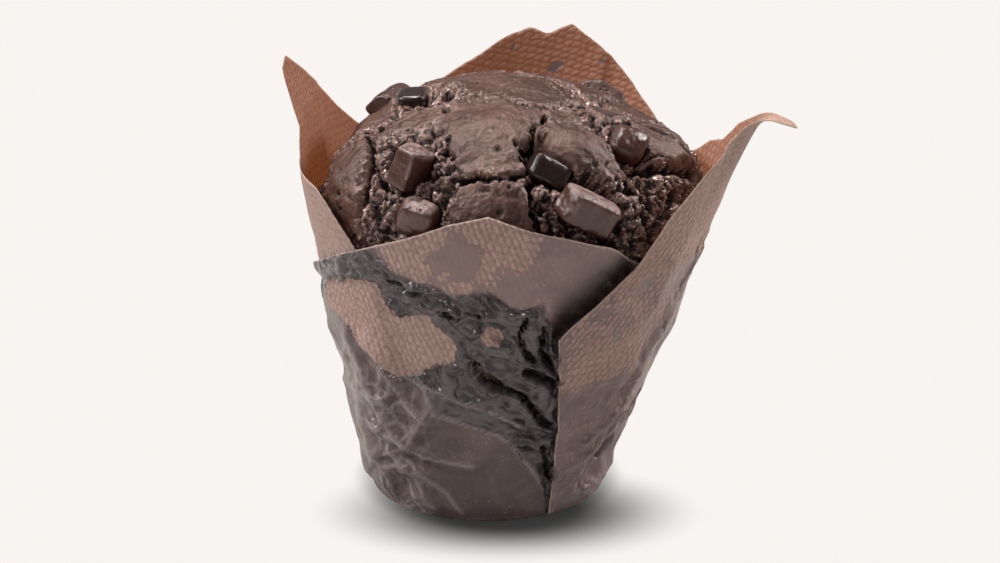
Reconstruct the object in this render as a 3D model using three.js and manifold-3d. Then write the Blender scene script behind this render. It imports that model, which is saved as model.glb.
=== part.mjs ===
// Chocolate chunk muffin in a tulip paper wrap.
//
// Millimetres, +Z up. The origin is the middle of the flat base, and the front faces -Y.
// An azimuth is measured in degrees from the front towards +X.
//
// The muffin is one baked crumb: a tapered foot inside the wrap and a cracked dome above it.
// The wrap is one sheet of paper, pleated at four places into four overlapping petals.
// The chocolate chunks sit in pockets of the crumb, each with a small clearance round it.

import * as THREE from "three";
import { mergeVertices } from "three/addons/utils/BufferGeometryUtils.js";
import { RoundedBoxGeometry } from "three/addons/geometries/RoundedBoxGeometry.js";
import Module from "manifold-3d";

const wasm = await Module();
wasm.setup();

// ---- Driving dimensions ----

const BASE_RADIUS = 25; // outside of the wrap where it stands
const FLARE = 0.275; // outward slope of the wrap's wall, mm per mm of height
const OVAL = 0.015; // how much more the wall flares at the sides than at front and back
const LEAN = 0.0885; // how far the axis leans towards +X, mm per mm of height

const PAPER = 0.8; // one pressed layer of paper
const PLY_SPREAD = 0.8; // how far a petal steps inwards from its folded edge to its tucked edge
const BASE_EDGE = 1.2; // rounding where the base meets the wall
const BASE_THICKNESS = 0.8;
const CUP_HEIGHT = 4; // height of the plain cup that the four petals rise from
const PETAL_FOOT = 1; // height at which the petals start on the cup

const CLEARANCE = 0.3; // between neighbouring pieces
const WAIST_HEIGHT = 57; // where the crumb stops following the wrap and the dome begins
const DOME_HEIGHT = 28; // from the waist to the top of the dome
const DOME_POWER = 2.7; // 2 is an ellipse, more is fuller at the shoulder
const CRUMB_INSET = 1.6; // from the wall's middle surface to the crumb
const CRACK_DEPTH = 3.2;
const CRACK_WIDTH = 0.1; // on a dome of radius 1
const LUMP_HEIGHT = 0.5; // soft unevenness of the dome
const RELIEF_FADE = 0.08; // share of the dome's radius over which cracks and lumps fade out at the waist
const LUMP_WAVES = 8; // how close the soft lumps stand: radians of wave across the dome's radius

const CURL_FOOT = 52; // height where the petals start to curl
const CURL_REACH = 42; // degrees on either side of a petal's tip that its curl reaches

// ---- Petals: front, right, back and left ----
// fold: azimuth of the petal's folded edge at the base, and how far it turns per mm of height.
// tuck: how far the petal runs on behind its neighbour, in degrees, at the height of the waist.
// rim: [azimuth, height] along the torn or cut edge, from the folded edge to the tucked edge.
// curl: how far the tip bends out from the plain wall (negative bends in).

const PETALS = [
  {
    fold: { start: -86, turn: 0.12 },
    tuck: 45,
    curl: -3.5,
    tip: [-8, 71],
    rim: [[-80, 51], [-50, 60.5], [-20, 69.5], [-9, 71.4], [3, 69], [14, 67.3], [37, 59.8], [66, 50]],
  },
  {
    fold: { start: 30, turn: -0.32 },
    tuck: 42,
    curl: 8.5,
    tip: [79, 83.5],
    rim: [[15, 44.5], [27, 51.7], [38, 59.3], [43, 66], [50, 74], [62, 81], [79, 83.5], [92, 79], [106, 71.5],
      [116, 67.3], [150, 54]],
  },
  {
    fold: { start: 121, turn: -0.1 },
    tuck: 40,
    curl: 1,
    tip: [172, 87],
    rim: [[112, 61], [135, 69.2], [158, 83], [167, 87.4], [173, 85.2], [178, 86.6], [191, 81.3], [214, 70],
      [246, 56]],
  },
  {
    fold: { start: 208, turn: 0 },
    tuck: 36,
    curl: -3,
    tip: [256, 88],
    rim: [[206, 58], [222, 65], [238, 75.5], [251, 86], [257, 88.5], [261, 85], [266, 76], [271, 71.5], [294, 71],
      [303, 66], [316, 57]],
  },
];

// ---- Crust plates ----
// [azimuth, distance from the dome's axis as a share of its radius]: the dome cracks between them.

const CRUST_PLATES = [
  [-11, 0.6], [110, 0.12], [28, 0.74], [-6, 0.92], [-62, 0.9], [-42, 0.76], [-92, 0.52],
  [70, 0.5], [66, 0.8], [48, 0.95], [20, 0.96], [150, 0.62], [178, 0.93], [205, 0.6],
  [222, 0.92], [118, 0.86], [256, 0.88],
];

// ---- Chocolate chunks ----
// at: [azimuth, share of the dome's radius]; size: along the dome, up the dome, and out of it;
// pitch, roll and spin in degrees; rise: how far the middle stands above the crumb.

const CHUNKS = [
  { at: [-38.5, 0.83], size: [6.4, 8.2, 6.5], pitch: 34, roll: -8, spin: -12, rise: 0.9 },
  { at: [-30, 0.96], size: [9, 7.5, 5.5], pitch: 30, roll: -6, spin: -8, rise: 0.2 },
  { at: [24, 0.945], size: [13.6, 6.6, 6.4], pitch: 36, roll: 4, spin: -32, rise: 1.1 },
  { at: [56, 0.72], size: [8, 7.5, 6], pitch: 24, roll: -18, spin: 38, rise: -1.2 },
  { at: [-107, 0.55], size: [9.5, 6, 5.5], pitch: -12, roll: 0, spin: 16, rise: -1.6 },
  { at: [14, 0.78], size: [8.5, 5.5, 5.5], pitch: 30, roll: 8, spin: -30, rise: -1.8 },
  { at: [146, 0.86], size: [9, 8, 7], pitch: 10, roll: -8, spin: 24, rise: -0.6 },
  { at: [190, 0.8], size: [8, 7.5, 6.5], pitch: -8, roll: 6, spin: -38, rise: -0.8 },
  { at: [236, 0.78], size: [11, 7, 6.5], pitch: 8, roll: 10, spin: 10, rise: -0.6 },
];

// ---- Small helpers ----

const radians = THREE.MathUtils.degToRad;
const clamp01 = (x) => THREE.MathUtils.clamp(x, 0, 1);
const turnBetween = (a, b) => THREE.MathUtils.euclideanModulo(a - b + 180, 360) - 180;

function alongLine(points, x) {
  const last = points.length - 1;
  let i = 0;
  while (i < last - 1 && x > points[i + 1][0]) i += 1;
  const [x0, y0] = points[i];
  const [x1, y1] = points[i + 1];
  return THREE.MathUtils.lerp(y0, y1, clamp01((x - x0) / (x1 - x0)));
}

// A closed solid from rings of points. Every ring has the same even number of points, and the
// first and last ring are closed by strips that join its first half to its second half.
function loftSolid(rings) {
  const count = rings[0].length;
  const positions = rings.flat().flatMap((point) => [point.x, point.y, point.z]);
  const faces = [];
  const quad = (a, b, c, d) => faces.push(a, b, c, a, c, d);
  for (let j = 0; j + 1 < rings.length; j += 1) {
    for (let i = 0; i < count; i += 1) {
      const next = (i + 1) % count;
      quad(j * count + i, j * count + next, (j + 1) * count + next, (j + 1) * count + i);
    }
  }
  const top = (rings.length - 1) * count;
  for (let i = 0; i < count / 2 - 1; i += 1) {
    quad(i, count - 1 - i, count - 2 - i, i + 1);
    quad(top + i, top + i + 1, top + count - 2 - i, top + count - 1 - i);
  }
  const geometry = new THREE.BufferGeometry();
  geometry.setAttribute("position", new THREE.Float32BufferAttribute(positions, 3));
  geometry.setIndex(faces);
  return geometry;
}

function toSolid(geometry) {
  const plain = geometry.clone();
  plain.deleteAttribute("normal");
  plain.deleteAttribute("uv");
  const welded = mergeVertices(plain, 1e-4);
  return new wasm.Manifold(new wasm.Mesh({
    numProp: 3,
    vertProperties: new Float32Array(welded.attributes.position.array),
    triVerts: new Uint32Array(welded.index.array),
  }));
}

function toGeometry(solid) {
  const mesh = solid.getMesh();
  const geometry = new THREE.BufferGeometry();
  geometry.setAttribute("position", new THREE.BufferAttribute(mesh.vertProperties, 3));
  geometry.setIndex(new THREE.BufferAttribute(mesh.triVerts, 1));
  geometry.computeVertexNormals();
  return geometry;
}

function namedMesh(name, geometry, material) {
  const mesh = new THREE.Mesh(geometry, material);
  mesh.name = name;
  return mesh;
}

// ---- The wall that the wrap and the crumb share ----

// How far the nearest petal's tip bends the wall out at this place.
function petalCurl(azimuth, height) {
  let curl = 0;
  for (const petal of PETALS) {
    const [tipAzimuth, tipHeight] = petal.tip;
    const away = clamp01(Math.abs(turnBetween(azimuth, tipAzimuth)) / CURL_REACH);
    const up = Math.max((height - CURL_FOOT) / (tipHeight - CURL_FOOT), 0);
    curl += petal.curl * Math.cos(away * Math.PI / 2) ** 2 * up ** 3;
  }
  return curl;
}

function wallPoint(azimuth, height, offset) {
  const angle = radians(azimuth);
  const slope = FLARE - OVAL * Math.cos(2 * angle);
  const radius = BASE_RADIUS + slope * height + petalCurl(azimuth, height) + offset;
  const middle = LEAN * height;
  return new THREE.Vector3(middle + radius * Math.sin(angle), -radius * Math.cos(angle), height);
}

// ---- Tulip wrap ----

const foldAzimuth = (petal, height) => petal.fold.start + petal.fold.turn * height;

function nextFoldAzimuth(index, height) {
  const following = PETALS[(index + 1) % PETALS.length];
  const lap = index + 1 === PETALS.length ? 360 : 0;
  return foldAzimuth(following, height) + lap;
}

// One petal: a thin curved plate, outermost at its folded edge and tucked in at its other edge.
function petalGeometry(petal, index) {
  const COLUMNS = 26;
  const ROWS = 7;
  const BASE_LAP = 5; // degrees by which the petals lap each other at their foot
  const rings = [];
  for (let row = 0; row <= ROWS; row += 1) {
    const outside = [];
    const inside = [];
    for (let column = 0; column <= COLUMNS; column += 1) {
      const share = column / COLUMNS;
      const azimuthAt = (height) => {
        const lap = THREE.MathUtils.lerp(BASE_LAP, petal.tuck, clamp01(height / WAIST_HEIGHT));
        return THREE.MathUtils.lerp(foldAzimuth(petal, height), nextFoldAzimuth(index, height) + lap, share);
      };
      const rimHeight = alongLine(petal.rim, azimuthAt(WAIST_HEIGHT));
      const height = THREE.MathUtils.lerp(PETAL_FOOT, rimHeight, row / ROWS);
      const outer = PLY_SPREAD * (0.5 - share);
      outside.push(wallPoint(azimuthAt(height), height, outer));
      inside.push(wallPoint(azimuthAt(height), height, outer - PAPER));
    }
    rings.push([...outside, ...inside.reverse()]);
  }
  return loftSolid(rings);
}

function cupGeometry() {
  const SEGMENTS = 72;
  const SET_BACK = 0.1; // how far the plain cup lies inside the petals' outer face
  const outerAt = (height) => BASE_RADIUS + FLARE * height - SET_BACK;
  const innerAt = (height) => outerAt(height) - PAPER - SET_BACK;
  const bevel = BASE_EDGE * 0.3;
  const profile = [
    [0, 0],
    [BASE_RADIUS - BASE_EDGE, 0],
    [outerAt(0) - bevel, bevel],
    [outerAt(BASE_EDGE), BASE_EDGE],
    [outerAt(CUP_HEIGHT), CUP_HEIGHT],
    [innerAt(CUP_HEIGHT), CUP_HEIGHT],
    [innerAt(BASE_EDGE), BASE_EDGE],
    [innerAt(BASE_EDGE) - bevel, BASE_THICKNESS],
    [0, BASE_THICKNESS],
  ];
  const lathe = new THREE.LatheGeometry(profile.map(([x, y]) => new THREE.Vector2(x, y)), SEGMENTS);
  return lathe.rotateX(Math.PI / 2);
}

function wrapSolid() {
  const petals = PETALS.map((petal, index) => toSolid(petalGeometry(petal, index)));
  return petals.reduce((sheet, petal) => sheet.add(petal), toSolid(cupGeometry()));
}

// ---- Crumb ----

// The point of the smooth dome at an azimuth and a share of its radius, and the way out of it.
function domePoint(azimuth, share) {
  const height = WAIST_HEIGHT + DOME_HEIGHT * (1 - share ** DOME_POWER) ** (1 / DOME_POWER);
  const edge = wallPoint(azimuth, WAIST_HEIGHT, -CRUMB_INSET);
  const middle = new THREE.Vector3(LEAN * WAIST_HEIGHT, 0, height);
  return new THREE.Vector3(edge.x, edge.y, height).lerp(middle, 1 - share);
}

function domeNormal(azimuth, share) {
  const step = 0.02;
  const inner = domePoint(azimuth, share - step);
  const outer = domePoint(azimuth, Math.min(share + step, 0.999));
  const along = domePoint(azimuth + 1, share).sub(domePoint(azimuth - 1, share));
  return along.cross(inner.sub(outer)).normalize();
}

function plateDirection([azimuth, share]) {
  const angle = radians(azimuth);
  return new THREE.Vector3(share * Math.sin(angle), -share * Math.cos(angle), Math.sqrt(1 - share * share));
}

const plateDirections = CRUST_PLATES.map(plateDirection);

// Height of the crust above the smooth dome: cracks between the plates, and soft lumps.
function crustRelief(azimuth, share) {
  const place = plateDirection([azimuth, share]);
  const distances = plateDirections.map((plate) => place.distanceTo(plate)).sort((a, b) => a - b);
  const crack = Math.exp(-(((distances[1] - distances[0]) / CRACK_WIDTH) ** 2));
  const lumps = Math.sin(LUMP_WAVES * place.x) * Math.cos(LUMP_WAVES * place.y);
  const fade = THREE.MathUtils.smoothstep(1 - share, 0, RELIEF_FADE);
  return fade * (LUMP_HEIGHT * lumps - CRACK_DEPTH * crack);
}

function crumbGeometry() {
  const COLUMNS = 72;
  const FOOT_HEIGHTS = [0, 1.2, 14, 30, 45];
  const DOME_RINGS = 18;
  const foot = BASE_THICKNESS + CLEARANCE;
  const azimuths = Array.from({ length: COLUMNS }, (_, column) => (column * 360) / COLUMNS);
  const rings = FOOT_HEIGHTS.map((height, row) => {
    const inset = CRUMB_INSET + (row === 0 ? BASE_EDGE : 0);
    return azimuths.map((azimuth) => wallPoint(azimuth, foot + height, -inset));
  });
  for (let ring = 0; ring <= DOME_RINGS; ring += 1) {
    const share = Math.cos((ring / DOME_RINGS) * Math.PI * 0.49);
    rings.push(azimuths.map((azimuth) => {
      const point = domePoint(azimuth, Math.min(share, 0.9999));
      const relief = crustRelief(azimuth, share);
      return point.addScaledVector(domeNormal(azimuth, Math.max(share, 0.03)), relief);
    }));
  }
  return loftSolid(rings);
}

// ---- Chocolate chunks ----

function chunkGeometry(chunk, grow) {
  const EDGE_SHARE = 0.2; // rounding of the edges, as a share of the smallest side
  const CORNER_STEPS = 1;
  const [along, up, out] = chunk.size;
  const rounding = EDGE_SHARE * Math.min(along, up, out);
  const box = new RoundedBoxGeometry(along + 2 * grow, up + 2 * grow, out + 2 * grow, CORNER_STEPS, rounding);
  const outward = domeNormal(...chunk.at);
  const sideways = new THREE.Vector3(0, 0, 1).cross(outward).normalize();
  const upward = outward.clone().cross(sideways);
  const tilt = new THREE.Euler(radians(chunk.pitch), radians(chunk.roll), radians(chunk.spin));
  const place = new THREE.Matrix4().makeBasis(sideways, upward, outward);
  place.multiply(new THREE.Matrix4().makeRotationFromEuler(tilt));
  place.setPosition(domePoint(...chunk.at).addScaledVector(outward, chunk.rise));
  return box.applyMatrix4(place);
}

// ---- Materials ----

const crumbMaterial = new THREE.MeshStandardMaterial({ color: "#3a2722", roughness: 0.6, metalness: 0 });
const paperMaterial = new THREE.MeshStandardMaterial({ color: "#6b564c", roughness: 0.7, metalness: 0 });
const chocolateMaterial = new THREE.MeshStandardMaterial({ color: "#2c1714", roughness: 0.3, metalness: 0 });

// ---- Assembly ----

const muffin = new THREE.Group();

const pockets = CHUNKS.map((chunk) => toSolid(chunkGeometry(chunk, CLEARANCE)));
const crumb = pockets.reduce((solid, pocket) => solid.subtract(pocket), toSolid(crumbGeometry()));

muffin.add(namedMesh("muffin_crumb", toGeometry(crumb), crumbMaterial));
muffin.add(namedMesh("tulip_wrap", toGeometry(wrapSolid()), paperMaterial));

CHUNKS.forEach((chunk, index) => {
  const piece = toGeometry(toSolid(chunkGeometry(chunk, 0)));
  muffin.add(namedMesh(`chocolate_chunk_${index + 1}`, piece, chocolateMaterial.clone()));
});

export default muffin;
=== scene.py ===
"""Chocolate chunk muffin in a tulip paper wrap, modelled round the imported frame.

Lengths are millimetres until a mesh is made, and metres from there on. The front faces -Y.
An azimuth is in degrees from the front towards +X.
"""
import math
from collections import namedtuple
from types import SimpleNamespace

import bmesh
import bpy
import numpy as np
from mathutils import Matrix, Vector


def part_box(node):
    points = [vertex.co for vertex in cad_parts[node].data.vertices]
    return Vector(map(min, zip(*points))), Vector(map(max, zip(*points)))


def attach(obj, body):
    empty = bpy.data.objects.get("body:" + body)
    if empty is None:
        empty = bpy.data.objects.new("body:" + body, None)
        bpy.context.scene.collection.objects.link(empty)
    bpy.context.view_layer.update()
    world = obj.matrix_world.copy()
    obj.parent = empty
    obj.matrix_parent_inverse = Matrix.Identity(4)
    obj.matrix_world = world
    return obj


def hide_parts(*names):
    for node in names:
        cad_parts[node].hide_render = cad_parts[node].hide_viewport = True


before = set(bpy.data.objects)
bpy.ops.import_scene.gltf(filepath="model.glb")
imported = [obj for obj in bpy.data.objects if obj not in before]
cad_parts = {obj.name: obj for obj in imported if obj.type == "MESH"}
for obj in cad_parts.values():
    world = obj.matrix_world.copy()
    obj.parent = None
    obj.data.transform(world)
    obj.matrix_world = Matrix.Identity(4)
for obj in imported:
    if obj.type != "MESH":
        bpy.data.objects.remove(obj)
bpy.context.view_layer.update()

MM = 0.001
TURN = 360.0
FAR = 9.0  # stands for "nothing found near"

# ---- Driving dimensions, the same as the CAD model's ----

BASE_RADIUS = 25.0
FLARE = 0.275
OVAL = 0.015
LEAN = 0.0885
WAIST = 57.0
DOME_HEIGHT = 28.0
DOME_POWER = 2.7
CRUMB_INSET = 1.6
CRUMB_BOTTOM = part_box("muffin_crumb")[0][2] / MM


# ---- Repeatable noise ----

NOISE_GAIN = 1.7  # brings the noise to about -1..1


def mix_bits(n):
    n = (n ^ (n >> np.uint32(16))) * np.uint32(0x7FEB352D)
    n = (n ^ (n >> np.uint32(15))) * np.uint32(0x846CA68B)
    return n ^ (n >> np.uint32(16))


def cell_random(cells, seed):
    """Three random numbers in 0..1 for each whole-number cell, the same on every run."""
    c = cells.astype(np.int64).astype(np.uint32)
    n = c[..., 0] * np.uint32(73856093)
    n = n ^ (c[..., 1] * np.uint32(19349663))
    n = n ^ (c[..., 2] * np.uint32(83492791))
    n = mix_bits(n + np.uint32(seed * 7919 + 17))
    channels = []
    for _ in range(3):
        n = mix_bits(n + np.uint32(0x9E3779B9))
        channels.append(n.astype(np.float64) / 4294967296.0)
    return np.stack(channels, axis=-1)


def noise(points, size, seed):
    """Smooth gradient noise of about -1..1, with features of the given size."""
    p = points / size
    base = np.floor(p)
    f = p - base
    fade = f * f * f * (f * (f * 6 - 15) + 10)
    total = np.zeros(len(points))
    for corner in np.ndindex(2, 2, 2):
        corner = np.array(corner)
        gradient = cell_random(base + corner, seed) * 2 - 1
        weight = np.prod(np.where(corner == 1, fade, 1 - fade), axis=1)
        total += weight * np.sum(gradient * (f - corner), axis=1)
    return NOISE_GAIN * total


def fractal(points, size, seed, octaves=3):
    total = np.zeros(len(points))
    for octave in range(octaves):
        total += noise(points, size / 2**octave, seed + octave) / 2**octave
    return total


def summed_noise(points, parts):
    """The sum of several noises: each a size, a height and a seed."""
    return sum(height * noise(points, size, seed) for size, height, seed in parts)


def scatter_cells(points, size, seed):
    """Distances in cells to the nearest two scattered points, and the nearest one's own number."""
    p = points / size
    base = np.floor(p)
    nearest = second = np.full(len(points), FAR)
    own = np.zeros(len(points))
    for step in np.ndindex(3, 3, 3):
        cell = base + np.array(step) - 1
        random = cell_random(cell, seed)
        distance = np.linalg.norm(cell + random - p, axis=1)
        closer = distance < nearest
        second = np.where(closer, nearest, np.minimum(second, distance))
        own = np.where(closer, random[:, 0], own)
        nearest = np.minimum(nearest, distance)
    return nearest, second, own


# ---- Small helpers ----

def step_up(x, low, high):
    """A smooth step from 0 below low to 1 above high."""
    t = np.clip((x - low) / (high - low), 0, 1)
    return t * t * (3 - 2 * t)


def step_down(x, low, high):
    return 1 - step_up(x, low, high)


def xyz(x, y, z):
    """Points from their coordinates, which may be arrays or single numbers."""
    return np.stack(np.broadcast_arrays(x, y, z), axis=-1)


def mix(a, b, t):
    return a + (b - a) * t


def turn_between(a, b):
    return (a - b + 180.0) % TURN - 180.0


def line_distance(x, y, points, closed=False):
    """Distance from each (x, y) to the nearest part of a line through the points."""
    points = [np.array(p, dtype=float) for p in points]
    ends = points[1:] + points[:1] if closed else points[1:]
    best = np.full(np.shape(x), np.inf)
    for (ax, ay), (bx, by) in zip(points, ends):
        length = (bx - ax) ** 2 + (by - ay) ** 2
        t = np.clip(((x - ax) * (bx - ax) + (y - ay) * (by - ay)) / length, 0, 1)
        best = np.minimum(best, np.hypot(x - ax - t * (bx - ax), y - ay - t * (by - ay)))
    return best


def inside_distance(x, y, outline):
    """Distance to a closed outline, positive inside it and negative outside."""
    inside = np.zeros(np.shape(x), dtype=bool)
    for (ax, ay), (bx, by) in zip(outline, outline[1:] + outline[:1]):
        crosses = (ay > y) != (by > y)
        at = ax + (y - ay) / np.where(by == ay, 1e-9, by - ay) * (bx - ax)
        inside ^= crosses & (x < at)
    return np.where(inside, 1, -1) * line_distance(x, y, outline, closed=True)


def new_object(name, data):
    made = bpy.data.objects.new(name, data)
    bpy.context.scene.collection.objects.link(made)
    return made


def make_piece(name, points, faces, values, material, slot, *nodes):
    """A shown mesh on the root body that stands for CAD nodes. values are numbers at its points."""
    mesh = bpy.data.meshes.new(name)
    mesh.from_pydata((np.asarray(points) * MM).tolist(), [], faces)
    for key, numbers in values.items():
        layer = mesh.attributes.new(key, "FLOAT", "POINT")
        layer.data.foreach_set("value", np.asarray(numbers, dtype=np.float32))
    mesh.polygons.foreach_set("use_smooth", [True] * len(mesh.polygons))
    mesh.materials.append(material)
    mesh.validate()
    piece = new_object(name, mesh)
    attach(piece, "root")
    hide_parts(*nodes)


def grid_faces(rows, columns, closed=False):
    """Faces of a grid stored row after row. A closed grid joins its last column to its first."""
    last = columns if closed else columns - 1
    r, c = np.meshgrid(np.arange(rows - 1), np.arange(last), indexing="ij")
    after = (c + 1) % columns
    low, high = r * columns, (r + 1) * columns
    return np.stack([low + c, low + after, high + after, high + c], -1).reshape(-1, 4).tolist()


# ---- The wall that the wrap and the crumb share ----

FRONT, RIGHT, BACK, LEFT = range(4)

# fold: azimuth of the petal's folded edge at the base, and how far it turns per mm of height.
# curl: how far in mm its tip leans out. tip: the tip's azimuth and height.
# tuck: [height, degrees] that the petal before runs on behind this folded edge.
# rim: [azimuth, height] from the folded edge to the tucked edge.
PETALS = [
    {
        "fold": (-86, 0.12), "curl": -3.5, "tip": (-8, 71),
        "tuck": [(0, 1), (12, 30), (32, 44), (60, 31)],
        "rim": [(-80, 51), (-74, 53), (-50, 60.5), (-32, 65.7), (-20, 69.5), (-9, 71.4), (3, 69),
                (14, 67.3), (28, 64.2), (37, 59.8), (66, 50)],
    },
    {
        "fold": (30, -0.32), "curl": 1.5, "tip": (79, 83.5),
        "tuck": [(0, 1), (15, 22), (60, 45)],
        "rim": [(15, 44.5), (27, 51.7), (38, 59.3), (43, 68), (50, 76), (58, 82.5), (66, 86.5),
                (77, 89.8), (84, 86.5), (93, 79.5), (101, 76), (106, 71.5), (112, 70), (116, 67.3),
                (150, 54)],
    },
    {
        "fold": (121, -0.1), "curl": 1, "tip": (172, 87),
        "tuck": [(0, 1), (15, 20), (60, 40)],
        "rim": [(112, 61), (122, 66), (135, 69.2), (144, 74.2), (158, 83), (167, 87.4), (170, 86.6),
                (173, 85.2), (178, 86.6), (184, 84.8), (191, 81.3), (203, 76.5), (214, 70),
                (246, 56)],
    },
    {
        "fold": (208, 0), "curl": -3, "tip": (256, 88),
        "tuck": [(0, 1), (15, 20), (60, 38)],
        "rim": [(206, 58), (222, 65), (230.5, 70.5), (238, 75.5), (246, 81.5), (252, 87), (257, 91),
                (260, 89), (265, 77), (270, 71.5), (282, 71.3), (294, 71), (299, 68.5), (303, 66),
                (310, 60.5), (316, 57)],
    },
]
CURL_FROM = 52  # height where a petal starts to curl
CURL_WIDTH = 42  # degrees to each side of its tip that curl with it


def petal_curl(azimuth, height):
    """How far the petals lean out from the plain cone, in mm."""
    curl = 0
    for petal in PETALS:
        tip_azimuth, tip_height = petal["tip"]
        away = np.minimum(np.abs(turn_between(azimuth, tip_azimuth)) / CURL_WIDTH, 1)
        up = np.clip((height - CURL_FROM) / (tip_height - CURL_FROM), 0, 1.1)
        curl = curl + petal["curl"] * np.cos(away * math.pi / 2) ** 2 * up**3
    return curl


def wall_radius(azimuth, height):
    slope = FLARE - OVAL * np.cos(2 * np.radians(azimuth))
    return BASE_RADIUS + slope * height + petal_curl(azimuth, height)


def wall_point(azimuth, height, offset):
    angle = np.radians(azimuth)
    radius = wall_radius(azimuth, height) + offset
    return xyz(LEAN * height + radius * np.sin(angle), -radius * np.cos(angle), height)


def cone_radius(height):
    return BASE_RADIUS + FLARE * height


# ---- Dome of the crumb ----

def dome_point(azimuth, share):
    """The smooth dome at an azimuth and a share of its radius."""
    height = WAIST + DOME_HEIGHT * (1 - share**DOME_POWER) ** (1 / DOME_POWER)
    edge = wall_point(azimuth, WAIST, -CRUMB_INSET)
    middle = xyz(LEAN * WAIST, 0.0, height)
    edge[..., 2] = height
    return edge + (middle - edge) * (1 - np.asarray(share))[..., None]


def dome_normal(azimuth, share):
    inner = dome_point(azimuth, share - 0.02)
    outer = dome_point(azimuth, min(share + 0.02, 0.999))
    around = dome_point(azimuth + 1, share) - dome_point(azimuth - 1, share)
    normal = np.cross(around, inner - outer)
    return normal / np.linalg.norm(normal)


# ---- Wrap: where each column of the sheet runs ----

PLY = 0.4  # spacing of the pleat's layers
PAPER = 0.16  # thickness of the paper
FOOT = 0.8  # height where the wall starts above the rounded base edge
WALL_ROWS = 130
LINED_FROM = 0.58  # share of the wall above which the paper's inner side is built
VISIBLE, TUCKED, TURNED = 100, 14, 10  # columns: petal, its tucked end, ply that turns back
FOLD_TOP = 60  # height above which the folded edges run straight up
RIM_PASSES, RIM_PACE = 8, 0.7  # rounds in which a column's height settles on the rim
RIM_JAG = 0.14  # mm of unevenness along the cut rim
FOLD_LIFT, FOLD_LIFT_SLOPE, FOLD_LIFT_REACH = 0.35, 0.012, 4.0  # how a folded edge stands proud
# The flat base inside the wall: [radius, height].
BASE_ROWS = [(24.75, 0.3), (24.3, 0.08), (23.0, 0.04), (19.0, 0.18), (14.0, 0.32), (9.0, 0.4),
             (4.0, 0.42)]


def along(points, x):
    """Height at x of a line through the points."""
    xs, ys = zip(*points)
    return np.interp(x, xs, ys)


def fold_azimuth(index, height):
    start, turn = PETALS[index % 4]["fold"]
    return start + turn * np.minimum(height, FOLD_TOP) + TURN * (index // 4)


def tuck_width(index, height):
    return along(PETALS[index % 4]["tuck"], height)


def column_azimuth(index, u, height):
    """u runs 0..1 over the petal, 1..2 along its tucked end, and 2..3 back along the turned ply."""
    start = fold_azimuth(index, height)
    end = fold_azimuth(index + 1, height)
    tuck = tuck_width(index + 1, height)
    return mix(start, end, np.clip(u, 0, 1)) + tuck * (np.clip(u - 1, 0, 1) - np.clip(u - 2, 0, 1))


def rim_height(index, u):
    """Height of the rim over a place u of the petal, which leans as it rises."""
    rim = PETALS[index]["rim"]
    height = np.full(u.shape, 60.0)
    for _ in range(RIM_PASSES):
        height = mix(height, along(rim, column_azimuth(index, u, height)), RIM_PACE)
    next_start = PETALS[(index + 1) % 4]["rim"][0][1]
    return np.where(u > 2, mix(rim[-1][1], next_start, u - 2), height)


def ply_layer(index, u, azimuth, height):
    """Which layer of the pleats this place lies on: 0 against the crumb, 2 outermost."""
    over = azimuth - fold_azimuth(index, height) - tuck_width(index, height)
    over = np.radians(over) * wall_radius(azimuth, height)
    outer = 2 * step_down(over, -0.5, 1.6)
    layer = np.where(u <= 1, outer, np.where(u < 2, 0.0, 1.0))
    layer = np.where(u == 0, 1.5, layer)
    return np.where(u == 2, 0.5, layer)


def unroll(azimuth, height):
    """A place of the wall on the flat sheet, in mm."""
    return np.radians(azimuth) * cone_radius(height), height


# ---- Wrap: creases, wrinkles and grease ----

# The part of the front petal that lies smooth, because a hidden ply backs it.
FRONT_BACKED = [(-95, -2), (-88, 30), (-78, 44), (-70, 48), (-58, 42), (-43, 35), (-37, 32),
                (-30, 33), (-24, 26), (0, 22), (7, 19), (16, 13), (25, 7), (33, -1)]
# A dark facet below the band of wrinkles, as smooth as the backed part.
FRONT_FACET = [(-37, 32), (-33, 33), (-22, 31), (-2, 27), (10, 22), (0, 21), (-24, 25), (-30, 32)]
# The upper part of the front petal, which stands free of the crumb.
FRONT_FREE = [(-44, 65), (-41, 60), (-36, 57), (-26, 57), (-18, 54), (-8, 55), (3, 52), (10, 53),
              (14, 46), (18, 44), (45, 60), (10, 75), (-30, 75)]
# Patches that no grease has reached.
DRY_PATCH = [(-71, 49), (-47, 55), (-42, 52), (-38, 47), (-33, 48), (-25, 49), (-22, 45), (-16, 42),
             (-17, 40), (-23, 38), (-28, 36), (-30, 34), (-37, 33), (-43, 36), (-49, 37), (-58, 42),
             (-73, 42)]
RIGHT_DRY = [(10, 60), (14, 33), (26, 32), (36, 33), (50, 33), (57, 38), (64, 50), (70, 62),
             (74, 90), (40, 90)]
SHADE_REACH = 15.0  # mm above the right petal's edge over which the front petal gets painted shade
LEAVES_CRUMB = (57, 63)  # heights between which the wall comes free of the crumb
CALM_SIDES = (50, 72)  # azimuths between which the wrinkles calm down
LEAN_FRONT, LEAN_RIGHT = 0.62, -0.7  # slopes of the wrinkles
DRY_FRONT, DRY_RIGHT, DRY_HIDDEN = 0.16, 0.34, 0.22  # dryness of the plain paper

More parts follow.
